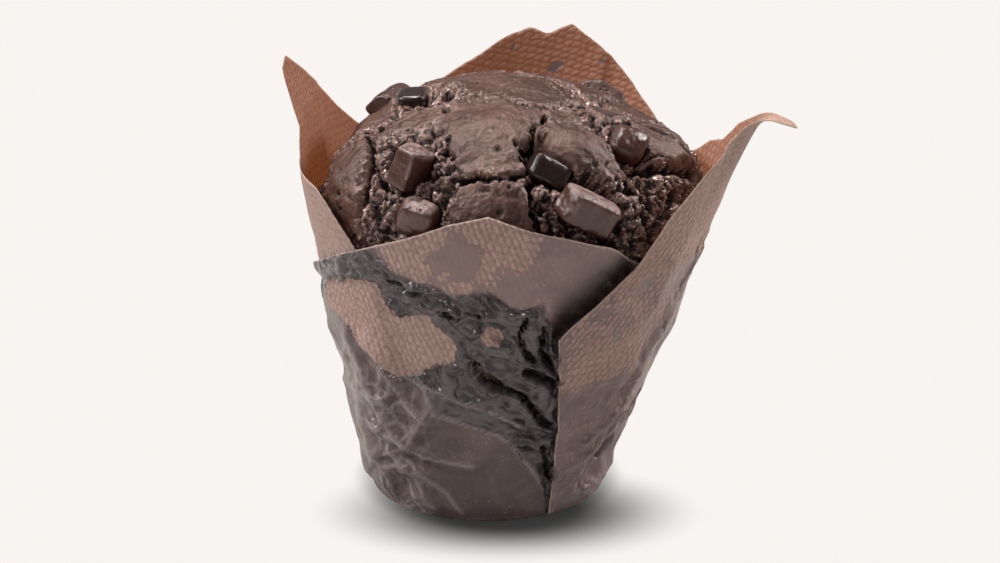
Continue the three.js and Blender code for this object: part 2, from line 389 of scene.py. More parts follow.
# Ridges where the paper is crumpled: [height in mm, half width in mm, line of (azimuth, height)].
RIDGES = [
    (1.0, 3.2, [(-60, 39), (-56, 32), (-51, 24), (-38, 16)]),
    (1.0, 3.0, [(-50, 40), (-44, 36), (-36, 27), (-27, 24)]),
    (0.7, 2.0, [(-72, 25), (-50, 27), (-45, 27)]),
    (1.1, 3.2, [(-25, 28), (-36, 17)]),
    (0.9, 2.4, [(-68, 19), (-50, 19), (-36, 17)]),
    (1.0, 3.0, [(-68, 15), (-53, 7), (-49, -2)]),
    (1.0, 2.6, [(-46, 14), (-32, 8), (-26, 3)]),
    (0.9, 2.4, [(-38, 13), (-19, 7), (-12, 2)]),
    (0.6, 2.2, [(-36, 17), (-31, 15), (-8, 14)]),
    (0.8, 2.6, [(-36, 17), (-46, 14), (-56, 11), (-70, 10)]),
    (0.7, 2.0, [(-58, 30), (-50, 27), (-51, 24)]),
    (0.6, 1.8, [(-60, 8), (-56, 3), (-54, -1)]),
    (0.5, 1.6, [(-40, 8), (-36, 3), (-32, 0)]),
    (0.9, 2.4, [(-80, 36), (-70, 32), (-60, 39)]),
    (0.8, 2.2, [(-82, 24), (-72, 25), (-68, 19)]),
    (0.5, 1.0, [(-34, 33), (-22, 31), (-2, 27), (8, 24)]),
    (0.5, 0.9, [(-30, 33), (-24, 26), (0, 22), (7, 19), (16, 13), (25, 7)]),
    (0.5, 0.9, [(-66, 50), (-62, 58)]),
    (0.5, 0.9, [(-60, 52), (-55, 60)]),
    (0.5, 0.9, [(-54, 53), (-51, 60)]),
    (0.8, 1.8, [(36, 12), (49, 16), (62, 24)]),
    (0.8, 1.8, [(42, 9), (56, 13), (72, 20)]),
    (0.7, 1.5, [(44, 4), (60, 4), (76, 8)]),
    (0.8, 1.6, [(38, 17), (50, 22), (58, 28)]),
    (0.9, 1.6, [(56, 30), (64, 40), (73, 55)]),
    (0.8, 1.5, [(62, 30), (70, 40), (79, 54)]),
    (0.7, 1.5, [(66, 22), (76, 34), (84, 46)]),
]
# Folds that open like cracks: [depth, half width, line].
GULLIES = [
    (2.2, 0.55, [(6, 50), (4.5, 46), (6, 42), (10, 39)]),
    (2.8, 1.25, [(-10, 38), (-6.5, 35.2), (-2, 34)]),
    (2.6, 0.8, [(-2, 34), (7, 31), (15, 26), (20, 23)]),
    (2.0, 1.0, [(12, 47), (12, 42), (17, 37)]),
    (1.8, 0.9, [(8, 37), (14, 35), (19, 34)]),
    (1.8, 0.7, [(20, 18), (24, 14), (28, 10)]),
    (1.4, 0.4, [(-13, 50.5), (-9, 50)]),
    (1.3, 0.45, [(-40, 56), (-33, 54), (-27, 54)]),
    (1.2, 0.4, [(-22, 51), (-16, 49)]),
    (2.0, 0.6, [(73, 60), (70, 56), (71, 52), (68, 48), (69, 45), (64, 41), (65, 38), (60, 34)]),
    (1.6, 0.45, [(78, 58), (76, 52), (77, 47), (73, 43)]),
    (2.0, 1.0, [(76, 22), (66, 19)]),
    (1.6, 0.6, [(50, 12), (58, 17), (66, 22)]),
]
# Round spots: [azimuth, height, radius in mm, dryness from 0 (soaked) to 1 (dry)].
SPOTS = [
    (-5, 45, 2.4, 1.0), (-17, 62, 4.6, 0.0), (-8, 59, 1.7, 1.0), (-7, 62.4, 2.0, 1.0),
    (-27, 59, 2.2, 0.9), (-20, 58.5, 1.5, 0.8), (-29, 63, 2.4, 0.85), (-24, 67, 3.0, 0.8),
    (-9, 69.5, 4.2, 1.0), (0, 66, 4.4, 0.9), (-4, 65, 2.6, 0.9), (14, 61, 4.5, 0.25),
    (24, 61, 3.6, 0.25), (2, 56, 4.0, 0.1), (-13, 56, 1.2, 0.7), (27, 35, 3.0, 1.0),
    (38, 36, 3.2, 1.0), (48, 38, 3.0, 1.0), (30, 41, 2.2, 1.0),
    (170, 78, 1.5, 0.1), (158, 80, 1.0, 0.2), (182, 82, 0.9, 0.2), (150, 72, 1.1, 0.2),
]
WEAVE_TILT = [-60, 50, 8, -50]  # degrees of the embossed rows on each petal
HIDDEN_SIDE = (88, 268)  # azimuths where the creases are scattered rather than placed
SCATTERED_RIDGES = 44
# The three sides of a crumpled facet: turn in radians and steepness.
FACET_SIDES = [(0.0, 0.8), (1.05, 1.1), (2.1, 1.4)]
FACET_FLOOR = 0.35  # middle height of the facets
WALL_WAVES = [(24, 0.5, 25), (9, 0.22, 26)]  # noises: [size, height in mm, seed]
CREASE_WIDTH = 0.34  # half width of the painted highlight line along a ridge


def scattered_ridges():
    """Diagonal creases over the hidden side, like those of the front."""
    random = np.random.RandomState(7)
    ridges = []
    for _ in range(SCATTERED_RIDGES):
        azimuth = random.uniform(*HIDDEN_SIDE)
        height = random.uniform(3, 40)
        run = random.uniform(10, 28) * random.choice([-1, 1])
        rise = random.uniform(-14, 4)
        bend = random.uniform(-3, 3)
        middle = (azimuth + run / 2, height + rise / 2 + bend)
        line = [(azimuth, height), middle, (azimuth + run, height + rise)]
        ridges.append((random.uniform(0.5, 1.1), random.uniform(1.1, 2.2), line))
    return ridges


def unrolled_distance(x, y, line):
    return line_distance(x, y, [unroll(a, z) for a, z in line])


def crumple(x, y, size, seed):
    """Facets that meet at sharp creases, as in crumpled paper: height, and mm to the crease."""
    p = xyz(x / size, y / size, 0)
    base = np.floor(p)
    lowest = second = np.full(x.shape, FAR)
    for step in np.ndindex(3, 3):
        cell = base + np.array([step[0] - 1, step[1] - 1, 0])
        random = cell_random(cell, seed)
        dx, dy = (cell + random - p)[:, :2].T
        turn = random[:, 2] * math.pi
        sides = [np.abs(dx * np.cos(turn + more) + dy * np.sin(turn + more)) * steepness
                 for more, steepness in FACET_SIDES]
        rise = np.maximum.reduce(sides)
        second = np.minimum(second, np.maximum(lowest, rise))
        lowest = np.minimum(lowest, rise)
    return lowest - FACET_FLOOR, (second - lowest) * size / 2


def wall_zones(azimuth, height, owner, below_rim):
    """Places of the wall, and how far each one lies in each zone of the paper, 0 to 1.

    owner holds how much each place belongs to each petal, and below_rim how many mm it lies
    below the petal's own rim.
    """
    z = SimpleNamespace(azimuth=azimuth, height=height)
    z.front, z.right, z.elsewhere = owner[FRONT], owner[RIGHT], owner[BACK] + owner[LEFT]
    z.place = wall_point(azimuth, height, 0.0)
    z.warp = 1.3 * np.stack([fractal(z.place, 6, seed, 2) for seed in (11, 12)])
    z.flat = np.stack(unroll(azimuth, height))
    z.torn = z.flat + z.warp
    z.bent = z.flat + 0.4 * z.warp

    def region(outline, soft, places):
        return step_up(inside_distance(*places, [unroll(*spot) for spot in outline]), -soft, soft)

    z.backed = z.front * region(FRONT_BACKED, 0.6, z.bent)
    z.facet = z.front * region(FRONT_FACET, 0.6, z.bent)
    z.free = z.front * region(FRONT_FREE, 1.0, z.torn)
    z.dry_patch = z.front * region(DRY_PATCH, 1.0, z.torn)
    z.right_dry = z.right * region(RIGHT_DRY, 1.5, z.torn)
    # the shaded zone: the front petal dips in under the right petal's edge, and gets painted shade
    # there as well
    above_right = height - along(PETALS[RIGHT]["rim"], azimuth)
    z.shaded = z.front * step_up(azimuth, 11.5, 16) * step_down(above_right, 1.5, SHADE_REACH)
    z.shaded *= step_up(height, 41, 46)
    z.above_crumb = step_up(height, *LEAVES_CRUMB)

    # wear: how much the paper may crease, which fades towards the rim and round the sides
    z.sideways = step_up(np.abs(turn_between(azimuth, 0)), *CALM_SIDES)
    z.wear = (1 - z.above_crumb) * step_up(below_rim, 0.3, 5.0) * (1 - 0.6 * z.sideways)

    # hidden side: the paper clings in wide diagonal patches between smooth ones
    x, y = z.torn
    patches = fractal(xyz(x * 0.7 + y * 0.5, y * 1.1 - x * 0.3, 0), 22, 31)
    z.clinging = z.elsewhere * step_up(patches, -0.05, 0.2) * step_down(height, 44, 54)
    z.smooth = z.elsewhere * (1 - z.clinging)
    z.band = z.front * (1 - z.backed) * (1 - z.free) * (1 - 0.9 * z.dry_patch)
    z.wrinkled = np.clip(z.band * (1 - 0.8 * z.facet) + z.clinging, 0, 1)
    lower_left = step_up(-azimuth, 16, 40) * step_down(height, 28, 42)
    right_side = (0.4 + 0.6 * step_up(azimuth, 40, 60)) * (1 - 0.6 * z.right_dry)
    z.crumpled = z.front * lower_left + z.right * right_side + 0.7 * z.smooth
    z.crumpled *= z.wear
    return z


def wrinkle_relief(z):
    """Leathery wrinkles in mm: down to the right over the front, the other way on the right."""
    x, y = z.flat
    lean = mix(LEAN_FRONT, LEAN_RIGHT, z.right)
    across = (y + lean * x) + 2.2 * fractal(z.place, 7, 14, 2)
    flow = xyz(across, (x - lean * y) * 0.42, 0)
    folds = 1 - 2 * np.abs(noise(flow, 4.6, 21))
    fine = 1 - 2 * np.abs(noise(flow + 40, 2.1, 22))
    return -1.0 + 1.5 * folds + 0.6 * fine


def ridge_relief(x, y):
    """Height in mm of the single ridges, and the painted highlight lines along them."""
    raised = np.zeros(x.shape)
    highlight_lines = np.zeros(x.shape)
    for height, width, line in RIDGES + scattered_ridges():
        distance = unrolled_distance(x, y, line)
        raised += (1.4 * height * np.maximum(1 - distance / (1.2 * width), 0)) ** 2
        highlight_lines = np.maximum(highlight_lines, np.exp(-((distance / CREASE_WIDTH) ** 2)))
    return np.sqrt(raised), highlight_lines


def gully_relief(z):
    """Relief in mm of the folds that open like cracks between two lips, and how open they are,
    which sets the painted shade in them.
    """
    relief = np.zeros(z.height.shape)
    gap = np.zeros(z.height.shape)
    rough = 0.35 * noise(z.place, 1.8, 28)
    for depth, width, line in GULLIES:
        distance = unrolled_distance(*z.bent, line) + rough
        opening = step_down(distance, 0.35 * width, 1.15 * width)
        relief += 0.35 * np.exp(-(((distance - 1.6 * width) / 0.6) ** 2)) - depth * opening
        gap = np.maximum(gap, opening)
    return relief, gap


def wrap_relief(z):
    """Relief in mm, the painted highlight along the creases, and how far the folds gape, which sets
    the painted shade in them.
    """
    x, y = z.bent
    facets, to_crease = crumple(x, y * 1.15, 12.0, 24)
    small_facets, to_small_crease = crumple(x + 50, y, 6.5, 27)
    # painted highlight on the sharp crests between crumpled facets
    facet_highlight = step_down(np.minimum(to_crease, to_small_crease), 0.1, 0.55)
    facet_highlight *= step_up(np.maximum(facets, small_facets), 0.0, 0.25)
    ridges, highlight_lines = ridge_relief(*(z.flat + 0.1 * z.warp))
    gullies, gap = gully_relief(z)
    relief = summed_noise(z.place, WALL_WAVES)
    relief += 0.45 * z.backed + 0.3 * z.smooth - 0.3 * z.crumpled
    relief += z.wrinkled * (1 - 0.6 * z.sideways) * wrinkle_relief(z)
    relief += z.crumpled * (2.2 * facets + 1.3 * small_facets)
    relief += 0.25 * (1 - z.crumpled) * facets
    relief += z.wear * (ridges + gullies) - 1.3 * z.shaded
    return relief, np.maximum(0.7 * z.crumpled * facet_highlight, z.wear * highlight_lines), z.wear * gap


def wrap_dryness(z):
    """How dry the paper is: 0 where grease has soaked it, 1 where it is dry."""
    cloudy = fractal(z.place, 8, 41)
    dry = DRY_FRONT * z.front + DRY_RIGHT * z.right + DRY_HIDDEN * z.elsewhere
    dry *= 1 - 0.8 * z.wrinkled
    dry = mix(dry, 0.42 + 0.16 * cloudy, z.free)
    dry = np.maximum(dry, z.dry_patch)
    dry = mix(dry, 0.50 + 0.20 * cloudy, z.right_dry)
    dry = mix(dry, 0.85, z.elsewhere * step_up(z.height + 5 * fractal(z.place, 14, 44), 40, 52))
    dry_top = step_up(z.height + 6 * fractal(z.place, 13, 45), 54, 62)
    dry = mix(dry, 0.95, dry_top * (1 - z.front))
    x, y = z.flat + 0.6 * z.warp
    for azimuth, height, radius, value in SPOTS:
        spot_x, spot_y = unroll(azimuth, height)
        near = step_down(np.hypot(x - spot_x, y - spot_y), 0.7 * radius, 1.2 * radius)
        dry = mix(dry, value, near * (np.abs(turn_between(z.azimuth, azimuth)) < 40))
    return dry


def wrap_surface(azimuth, height, owner, before_fold, below_rim):
    """Relief in mm and the masks of the paper's look.

    before_fold is the distance in mm to the folded edge that covers the petal's end.
    """
    z = wall_zones(azimuth, height, owner, below_rim)
    relief, crease, gap = wrap_relief(z)
    dry = wrap_dryness(z)
    foot = step_up(height, 0.5, 4)
    # painted shadow: near-black beside a folded edge, where the next ply runs under it
    edge_shadow = 0.95 * step_down(before_fold, 0.5, 1.3)
    stuck = z.band + 0.7 * z.clinging + 0.1 * (z.right - z.right_dry) * z.wear
    facing_in = step_up(azimuth, 74, 96) * step_down(azimuth, 262, 282)
    masks = {
        # painted shade: the dip above the right petal's edge loses its dryness, so it shows soaked
        "dry": dry * (1 - z.shaded),
        "charred": np.clip(stuck, 0, 1) * (1 - z.dry_patch),
        # painted shade: near-black in gaping folds, beside folded edges and in the dip above the
        # right petal's edge
        "gap": np.maximum(np.maximum(gap, edge_shadow) * foot, 0.92 * z.shaded),
        "crumpled": np.clip(z.crumpled + 0.2 * z.wrinkled + 0.1, 0, 1) * z.wear,
        # painted highlight along the creases
        "crease": crease * (1 - 0.6 * dry) * (1 - 0.65 * z.elsewhere),
        "free": z.above_crumb * (1 - z.front) * facing_in,
        "upper": np.maximum.reduce([z.free, z.above_crumb, z.right]),
    }
    return relief * (0.2 + 0.8 * foot), masks


# ---- Wrap: the bends of the petals' tips ----

# Each tip turns outwards beyond a crease between two places (azimuth, height) of the wall.
TIP_BENDS = [
    {"crease": [(94, 78), (60, 84.5)], "reach": 22, "radius": 2.2, "angle": 2.0},
    {"crease": [(270, 75.5), (243, 81)], "reach": 17, "radius": 2.0, "angle": 0.42},
]


def bend_tips(azimuth, height, points):
    """Turns the tips outwards beyond their creases, as round a small roll."""
    turned = np.radians(azimuth)
    sine, cosine = np.sin(turned), np.cos(turned)
    outward = xyz(sine, -cosine, 0)
    around = xyz(cosine, sine, 0)
    upward = xyz(FLARE * sine + LEAN, -FLARE * cosine, 1)
    for bend in TIP_BENDS:
        (from_azimuth, from_height), (to_azimuth, to_height) = bend["crease"]
        middle = (from_azimuth + to_azimuth) / 2
        level = (from_height + to_height) / 2
        x = np.radians(turn_between(azimuth, middle)) * cone_radius(height)
        run = np.radians(to_azimuth - from_azimuth) * cone_radius(level)
        rise = to_height - from_height
        length = math.hypot(run, rise)
        side, up = rise / length, -run / length
        over = np.maximum(x * side + (height - level) * up, 0)
        over = np.where(np.abs(x) < bend["reach"], over, 0)
        angle = np.minimum(over / bend["radius"], bend["angle"])
        straight = over - angle * bend["radius"]
        out = bend["radius"] * (1 - np.cos(angle)) + straight * np.sin(angle)
        slide = bend["radius"] * np.sin(angle) + straight * np.cos(angle) - over
        points = points + out[..., None] * outward
        points = points + (slide * side)[..., None] * around + (slide * up)[..., None] * upward
    return points


def covered_share(index, azimuth, height):
    """How far a place of one petal lies behind the next one, 0 to 1."""
    after = azimuth - fold_azimuth(index + 1, height)
    next_rim = along(PETALS[(index + 1) % 4]["rim"], azimuth - TURN * (index // 3))
    return step_up(after, 0.0, 2.0) * step_up(next_rim - height, 0.3, 3.5)


def thickened(rows):
    """Points of the sheet's inner side, one paper thickness behind its outer side."""
    next_column = np.roll(rows, -1, axis=1)
    last_column = np.roll(rows, 1, axis=1)
    normals = np.cross(next_column - last_column, np.gradient(rows, axis=0))
    normals /= np.linalg.norm(normals, axis=2)[..., None] + 1e-9
    return rows - PAPER * normals


def petal_sheet(index):
    """Numbers at every row and column of one petal's part of the sheet."""
    columns = np.concatenate([
        start + np.linspace(0, 1, count, endpoint=False)
        for start, count in enumerate((VISIBLE, TUCKED, TURNED))
    ])
    rim = rim_height(index, columns[None, :])
    jag = RIM_JAG * noise(xyz(columns * 60, 0, index), 1.6, 51)
    height = mix(FOOT, rim + jag, np.linspace(0, 1, WALL_ROWS)[:, None])
    u = np.broadcast_to(columns, height.shape)
    azimuth = column_azimuth(index, u, height)
    per_degree = math.radians(1) * cone_radius(height)
    before_fold = (fold_azimuth(index + 1, height) - azimuth) * per_degree
    next_corner = PETALS[(index + 1) % 4]["rim"][0][1]
    covered = covered_share(index, azimuth, height)
    owner = np.zeros((len(PETALS),) + height.shape)
    owner[index] = 1 - covered
    owner[(index + 1) % 4] += covered
    tilt = math.radians(WEAVE_TILT[index])
    x, y = unroll(azimuth, height)
    return {
        "azimuth": azimuth,
        "own_azimuth": azimuth - TURN * (index // 3) * (covered > 0),
        "height": height,
        "below_rim": rim - height,
        "layer": ply_layer(index, u, azimuth, height),
        "after_fold": (azimuth - fold_azimuth(index, height)) * per_degree,
        "before_fold": np.where((u < 1) & (height < next_corner), before_fold, FAR),
        "owner": owner,
        "weave_x": x * math.cos(tilt) + y * math.sin(tilt),
        "weave_y": y * math.cos(tilt) - x * math.sin(tilt),
    }


def build_wrap(material):
    sheets = [petal_sheet(index) for index in range(len(PETALS))]
    joined = {key: np.concatenate([sheet[key] for sheet in sheets], axis=-1) for key in sheets[0]}
    w = SimpleNamespace(**joined)
    relief, masks = wrap_surface(w.own_azimuth.ravel(), w.height.ravel(),
                                 w.owner.reshape(len(PETALS), -1),
                                 w.before_fold.ravel(), w.below_rim.ravel())

    # the folded edges stand proud, more towards the rim
    lift = FOLD_LIFT + FOLD_LIFT_SLOPE * w.height
    lift *= np.exp(-np.maximum(w.after_fold, 0) / FOLD_LIFT_REACH)
    offset = -PLY * 2 + PLY * w.layer + lift + relief.reshape(w.height.shape)
    wall = bend_tips(w.azimuth, w.height, wall_point(w.azimuth, w.height, offset))

    turned = np.radians(w.azimuth[0])
    base = [xyz(radius * np.sin(turned), -radius * np.cos(turned), level)
            for radius, level in reversed(BASE_ROWS)]
    outer = np.concatenate([np.array(base), wall], axis=0)
    lined = outer.shape[0] - round(WALL_ROWS * (1 - LINED_FROM))
    rows = np.concatenate([outer, thickened(outer)[:lined:-1]], axis=0)
    count = rows.shape[1]
    faces = grid_faces(rows.shape[0], count, closed=True)
    middle = len(rows) * count
    vertices = np.vstack([rows.reshape(-1, 3), [0, 0, BASE_ROWS[-1][1]]])
    faces += [[middle, (i + 1) % count, i] for i in range(count)]

    values = {name: mask.reshape(w.height.shape) for name, mask in masks.items()}
    values["weave_x"] = w.weave_x
    values["weave_y"] = w.weave_y
    # distance to the rim and to a folded edge, along which the paper gets a painted highlight
    beside_edge = np.where(w.after_fold < 0.01, 0.0, w.after_fold + 0.1)
    values["to_edge"] = np.minimum(w.below_rim, beside_edge)
    for name in values:
        low = np.repeat(values[name][:1], len(BASE_ROWS), axis=0)
        side = np.concatenate([low, values[name]], axis=0)
        values[name] = np.append(np.concatenate([side, side[:lined:-1]], axis=0).ravel(), 0.0)
    values["inside"] = (np.arange(len(vertices)) >= outer.shape[0] * count) * 1.0
    values["inside"][middle] = 0.0
    make_piece("tulip_paper", vertices, faces, values, material, "paper", "tulip_wrap")


# ---- Chocolate chunks: the same places as the CAD model's ----

# at: azimuth and share of the dome's radius; size: along the dome, up the dome, and out of it;
# turn: pitch, roll and spin in degrees; rise: how far the middle stands above the crumb;
# edge: how sharp the block's edges are; cuts: planes that slice the block, each a direction and
# the share of the block's reach left.
Chunk = namedtuple("Chunk", "at size turn rise edge cuts")
CHUNKS = [
    Chunk((-38.5, 0.83), (6.4, 8.2, 6.5), (34, -8, -12), 0.9, 14, [((-0.85, 0.1, 0.5), 0.66)]),
    Chunk((-30, 0.96), (9, 7.5, 5.5), (30, -6, -8), 0.2, 3.6, [((-0.6, 0.5, 0.6), 0.7)]),
    Chunk((24, 0.945), (13.6, 6.6, 6.4), (36, 4, -32), 1.1, 9,
          [((0.0, 0.7, 0.7), 0.86), ((1.0, 0.0, 0.5), 0.8)]),
    Chunk((56, 0.72), (8, 7.5, 6), (24, -18, 38), -1.2, 4,
          [((0.5, 0.3, 0.8), 0.7), ((-0.7, -0.3, 0.6), 0.72)]),
    Chunk((-107, 0.55), (9.5, 6, 5.5), (-12, 0, 16), -1.6, 5, []),
    Chunk((14, 0.78), (8.5, 5.5, 5.5), (30, 8, -30), -1.8, 5, []),
    Chunk((146, 0.86), (9, 8, 7), (10, -8, 24), -0.6, 12, [((0.6, 0.3, 0.7), 0.7)]),
    Chunk((190, 0.8), (8, 7.5, 6.5), (-8, 6, -38), -0.8, 9, [((-0.4, 0.5, 0.8), 0.74)]),
    Chunk((236, 0.78), (11, 7, 6.5), (8, 10, 10), -0.6, 8, [((0.0, 0.7, 0.7), 0.74)]),
]
CHUNK_GAP = 0.55  # between a chunk and the pocket it sits in
POCKET_REACH = 12  # a pocket is sunk this near to its chunk's middle
POCKET_STEPS, POCKET_STEP = 48, 0.25  # and by so many steps of so many mm at most
PIT_SIZE = 0.95  # spacing of the pits in baked chocolate
PIT_DEPTH = 0.32


def chunk_place(chunk):
    """Rotation and middle of a chunk: its axes run along the dome, up it, and out of it."""
    azimuth, share = chunk.at
    outward = dome_normal(azimuth, share)
    sideways = np.cross([0, 0, 1], outward)
    sideways /= np.linalg.norm(sideways)
    upward = np.cross(outward, sideways)
    pitch, roll, spin = [math.radians(angle) for angle in chunk.turn]
    tilt = Matrix.Rotation(pitch, 3, "X") @ Matrix.Rotation(roll, 3, "Y")
    tilt = tilt @ Matrix.Rotation(spin, 3, "Z")
    rotation = np.stack([sideways, upward, outward], axis=1) @ np.array(tilt)
    return rotation, dome_point(azimuth, share) + outward * chunk.rise


def chunk_reach(chunk, directions):
    """Distance from the chunk's middle to its surface: a block with rounded edges."""
    half = np.array(chunk.size) / 2
    power = chunk.edge
    total = np.sum((np.abs(directions) / half) ** power, axis=1)
    for normal, share in chunk.cuts:
        normal = np.array(normal) / np.linalg.norm(normal)
        plane = share * np.sum(np.abs(normal) * half)
        total += (np.maximum(directions @ normal, 0) / plane) ** power
    return total ** (-1 / power)


def build_chunk(index, chunk, ball, material):
    directions, faces = ball
    rotation, middle = chunk_place(chunk)
    reach = chunk_reach(chunk, directions)
    local = directions * reach[:, None]
    seed = 60 + index
    melted = 0.2 * noise(local, 3.2, seed) + 0.07 * noise(local, 1.1, seed + 20)
    # the upper side is bloomed and pitted by the bake, and the broad face stays smooth
    height = local / (np.array(chunk.size) / 2)
    top = step_up(height[:, 1] - 0.8 * np.maximum(height[:, 2] - 0.75, 0), 0.62, 0.9)
    nearest, _, _ = scatter_cells(local, PIT_SIZE, seed)
    pit = step_down(nearest, 0.15, 0.42) * top * step_up(noise(local, 2.2, seed + 30), -0.4, 0.1)
    local = local * (1 + (melted - PIT_DEPTH * pit) / reach)[:, None]
    points = middle + local @ rotation.T
    # painted highlight along the upper edges
    edge_highlight = step_up(np.sort(np.abs(height), axis=1)[:, 1], 0.74, 0.94)
    edge_highlight *= height[:, 1] + height[:, 2] > 0.6
    values = {
        "pitted": top,
        "pit": pit,
        # bloom on the upper side, and painted highlight along the edges
        "bloomed": np.maximum(top, 0.8 * edge_highlight) * (chunk.rise > 0),
        # painted shade on the chunks sunk deep in their pockets
        "sunk": np.full(len(points), float(chunk.rise < -1.5)),
    }
    name = f"chocolate_{index + 1}"
    make_piece(name, points, faces, values, material, "chocolate", f"chocolate_chunk_{index + 1}")


def round_ball(subdivisions):
    ball = bmesh.new()
    bmesh.ops.create_icosphere(ball, subdivisions=subdivisions, radius=1.0)
    directions = np.array([v.co[:] for v in ball.verts])
    faces = [[v.index for v in face.verts] for face in ball.faces]
    ball.free()
    return directions / np.linalg.norm(directions, axis=1)[:, None], faces


# ---- Crumb ----

# Places on the crust are (x, y) on a map of the dome seen from above: x to the right, y away from
# the front, with distances measured along the dome, and 100 at its waist.
DOME_REACH = 56.0  # mm along the dome from its top to its waist
SKIRT = 1.08  # the map goes on a little below the waist
GRID = 296  # points along each side of the dome's grid
FOOT_INSET = 3.9  # gap from the hidden foot to the wall
FOOT_LEVELS = [43, 34, 25, 16, 8, 3]

# Smooth plates of crust, between which the crumb has torn open.
PLATES = [
    [(-80, -22), (-66, -12), (-53, -14), (-56, -30), (-62, -46), (-70, -55), (-80, -54),
     (-88, -38)],
    [(-47, -19), (-37, -13), (-26, -12), (-29, -26), (-40, -29)],
    [(-20, -14), (-5, -13), (10, -26), (7, -42), (1, -52), (5, -58), (-7, -60), (-18, -58),
     (-22, -44), (-25, -27)],
    [(-25, 22), (-10, 28), (8, 28), (22, 10), (23, -3), (12, -13), (-4, -9), (-16, -1)],
    [(12, -36), (22, -33), (30, -36), (36, -46), (41, -52), (30, -53), (19, -52), (12, -47)],
    [(-18, -63), (4, -64), (6, -72), (7, -80), (-12, -86), (-27, -82), (-22, -70)],
    [(24, -8), (34, -2), (42, -10), (35, -20), (26, -19)],
    [(43, -5), (55, -8), (76, -10), (70, -26), (52, -29), (45, -20)],
    [(12, -19), (22, -16), (23, -27), (14, -31)],
    [(-30, 34), (-5, 36), (-2, 62), (-20, 70), (-38, 58)],
    [(5, 36), (28, 26), (42, 40), (35, 62), (8, 62)],
    [(35, 8), (60, 5), (72, 20), (60, 42), (48, 36), (36, 20)],
    [(-78, 2), (-52, -2), (-44, 14), (-50, 32), (-74, 30)],
    [(-55, 46), (-44, 62), (-30, 78), (-50, 84), (-74, 60)],
    [(0, 70), (30, 70), (36, 88), (0, 94), (-16, 88)],
    [(60, 50), (80, 30), (90, 42), (72, 70)],
    [(80, -10), (92, 5), (88, 22), (78, 5)],
]
# Cracks: [depth in mm, half width in mm, line].
CRACKS = [
    (3.2, 0.7, [(-51, 2), (-54, -12), (-53.5, -22), (-54.5, -35), (-58.5, -44), (-64.5, -52),
     (-70, -62)]),
    (2.4, 0.6, [(-54, -16), (-47, -15), (-41, -15), (-34, -11), (-26, -14), (-15, -13)]),
    (1.6, 0.45, [(-22, -59), (-12, -62), (-2, -63), (5, -60), (8, -55)]),
    (2.8, 0.6, [(11, -27), (10, -33), (6.5, -36), (7, -44), (5, -49), (6, -56)]),
    (2.8, 0.55, [(-15, -10), (-5, -15.5), (3, -12), (12, -14), (18, -9), (24, -3), (29, -2)]),
    (1.6, 0.3, [(10, 25), (15, 12), (18, 2), (18.5, -3)]),
    (1.8, 0.4, [(10, -21), (17, -19), (23, -21), (29, -20)]),
    (2.6, 0.7, [(26, -10), (28, -17), (34, -22), (42, -21)]),
    (2.6, 0.55, [(29, -22), (32, -29), (36, -35), (41, -42)]),
    (4.6, 1.3, [(41, -42), (46, -42), (52, -38), (59, -33.5), (66, -27), (73, -20)]),
    (2.2, 0.5, [(50, -14), (58, -16), (66, -18), (74, -17)]),
    (6.5, 2.2, [(9, -46), (12, -53), (18, -58), (24, -60), (30, -60), (36, -62)]),
    (1.8, 0.8, [(6, -64), (8, -74), (12, -82)]),
    (2.0, 0.8, [(50, -46), (54, -56), (62, -62)]),
    (2.4, 0.6, [(-30, 30), (-10, 32), (2, 33), (22, 26), (32, 10), (36, 0)]),
    (2.6, 0.7, [(0, 34), (0, 50), (-6, 66), (-20, 76), (-34, 80)]),
    (2.4, 0.6, [(32, 12), (40, 30), (46, 42), (60, 50), (74, 42)]),
    (2.6, 0.7, [(-40, 0), (-40, 16), (-46, 36), (-58, 46), (-70, 44)]),
    (2.2, 0.6, [(42, 44), (40, 62), (30, 68), (10, 66)]),
]
# Broad swellings and hollows: [x, y, radius in mm, height in mm]
SWELLINGS = [
    (-7, -36, 13, 1.9), (0, 8, 13, 1), (25, -43, 7, 1.9), (-10, -74, 8, 1.4), (-70, -35, 9, 1.3),
    (62, -16, 8, 1.6), (-36, 12, 6, 0.8), (10, -53, 4, -2.6), (48, -40, 6, -1.6),
    (-28, 0, 5, -1.8), (-44, -42, 6, -0.8), (20, 50, 12, 0.8), (-20, 50, 12, 0.8),
    (40, 14, 15, -3), (-62, 10, 12, -1.8), (13, -15, 5, -0.7), (-48, 0, 4, -1.6),
    (45, -30, 4, -1.6), (40, -88, 9, -3.4),
]


# Noises that are summed: [size, height in mm, seed].
TORN_EDGE = [(4.2, 1.3, 73), (1.9, 1.3, 77), (1.0, 0.7, 79)]
CRUST_WAVES = [(11, 0.55, 74), (4.5, 0.3, 75), (1.5, 0.12, 76)]
GRANULES = [(4.6, 1.7, 80), (2.1, 0.65, 81), (1.25, 0.55, 82)]
WRINKLE_STRETCH = np.array([0.5, 1.0, 1.6])


def profile_tables():
    """Distance along the dome from its top, its share of the radius and its lift from the waist."""
    turn = np.linspace(0, math.pi / 2, 3000)
    share = np.sin(turn) ** (2 / DOME_POWER)
    lift = np.cos(turn) ** (2 / DOME_POWER) * DOME_HEIGHT
    radius = wall_radius(90.0, WAIST) - CRUMB_INSET
    steps = np.hypot(np.diff(share * radius), np.diff(lift))
    length = np.concatenate([[0], np.cumsum(steps)])
    return length / length[-1], share, lift


